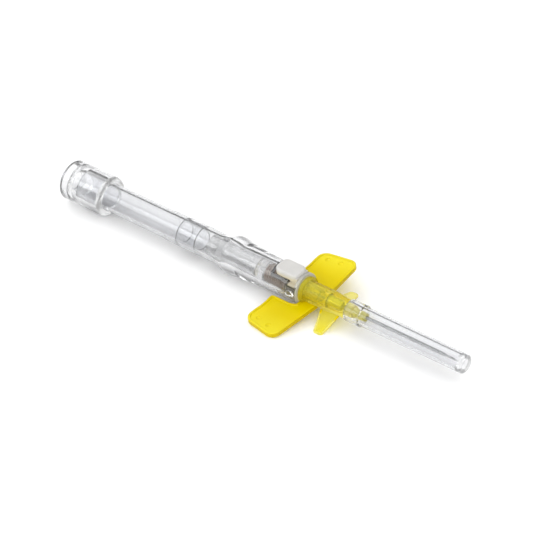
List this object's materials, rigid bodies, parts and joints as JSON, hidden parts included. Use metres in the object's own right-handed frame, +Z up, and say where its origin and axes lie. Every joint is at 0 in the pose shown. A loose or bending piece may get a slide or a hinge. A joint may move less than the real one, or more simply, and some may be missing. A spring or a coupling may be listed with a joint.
{
  "type": "iv cannula",
  "caption": "Winged over-the-needle cannula with a push-button retracting needle, clear barrel and end cap, yellow winged hub and clear needle cover.",
  "frame": {"origin": "centre of the flat foot under the catheter hub, on the surface it rests on", "axes": "+X along the needle from the end cap towards the needle cover, +Z up out of the button, +Y to the side away from the drooping fin"},
  "size_m": [0.1012, 0.0262, 0.0084],
  "materials": {
    "clear_cap": "clear, smooth",
    "clear_barrel": "clear, smooth",
    "clear_grip": "clear, smooth",
    "button_plastic": "off-white, slightly translucent, satin",
    "clear_carriage": "clear, smooth",
    "porous_plug": "porous off-white, dull",
    "needle_steel": "polished along its length",
    "spring_steel": "drawn wire, bright",
    "yellow_plastic": "translucent yellow, smooth",
    "wedge_steel": "turned, bright",
    "catheter_plastic": "translucent, smooth",
    "clear_cover": "clear, smooth"
  },
  "bodies": {
    "housing": {"end_cap": "clear_cap", "barrel": "clear_barrel", "grip": "clear_grip", "spring": "spring_steel"},
    "button": {"button": "button_plastic"},
    "carriage": {"needle_hub": "clear_carriage", "flash_plug": "porous_plug", "needle": "needle_steel"},
    "catheter": {"catheter_hub": "yellow_plastic", "catheter_wedge": "wedge_steel", "catheter_tube": "catheter_plastic"},
    "cover": {"needle_cover": "clear_cover"}
  },
  "joints": [
    {"name": "button_press", "type": "slide", "parent": "housing", "child": "button", "axis": [0, 0, -1], "range_m": [0, 0.00095]},
    {"name": "needle_retract", "type": "slide", "parent": "housing", "child": "carriage", "axis": [-1, 0, 0], "range_m": [0, 0.0358], "deforming": ["spring"]},
    {"name": "catheter_slide", "type": "slide", "parent": "housing", "child": "catheter", "axis": [1, 0, 0], "range_m": [0, 0.04]},
    {"name": "cover_pull", "type": "slide", "parent": "catheter", "child": "cover", "axis": [1, 0, 0], "range_m": [0, 0.03]}
  ]
}
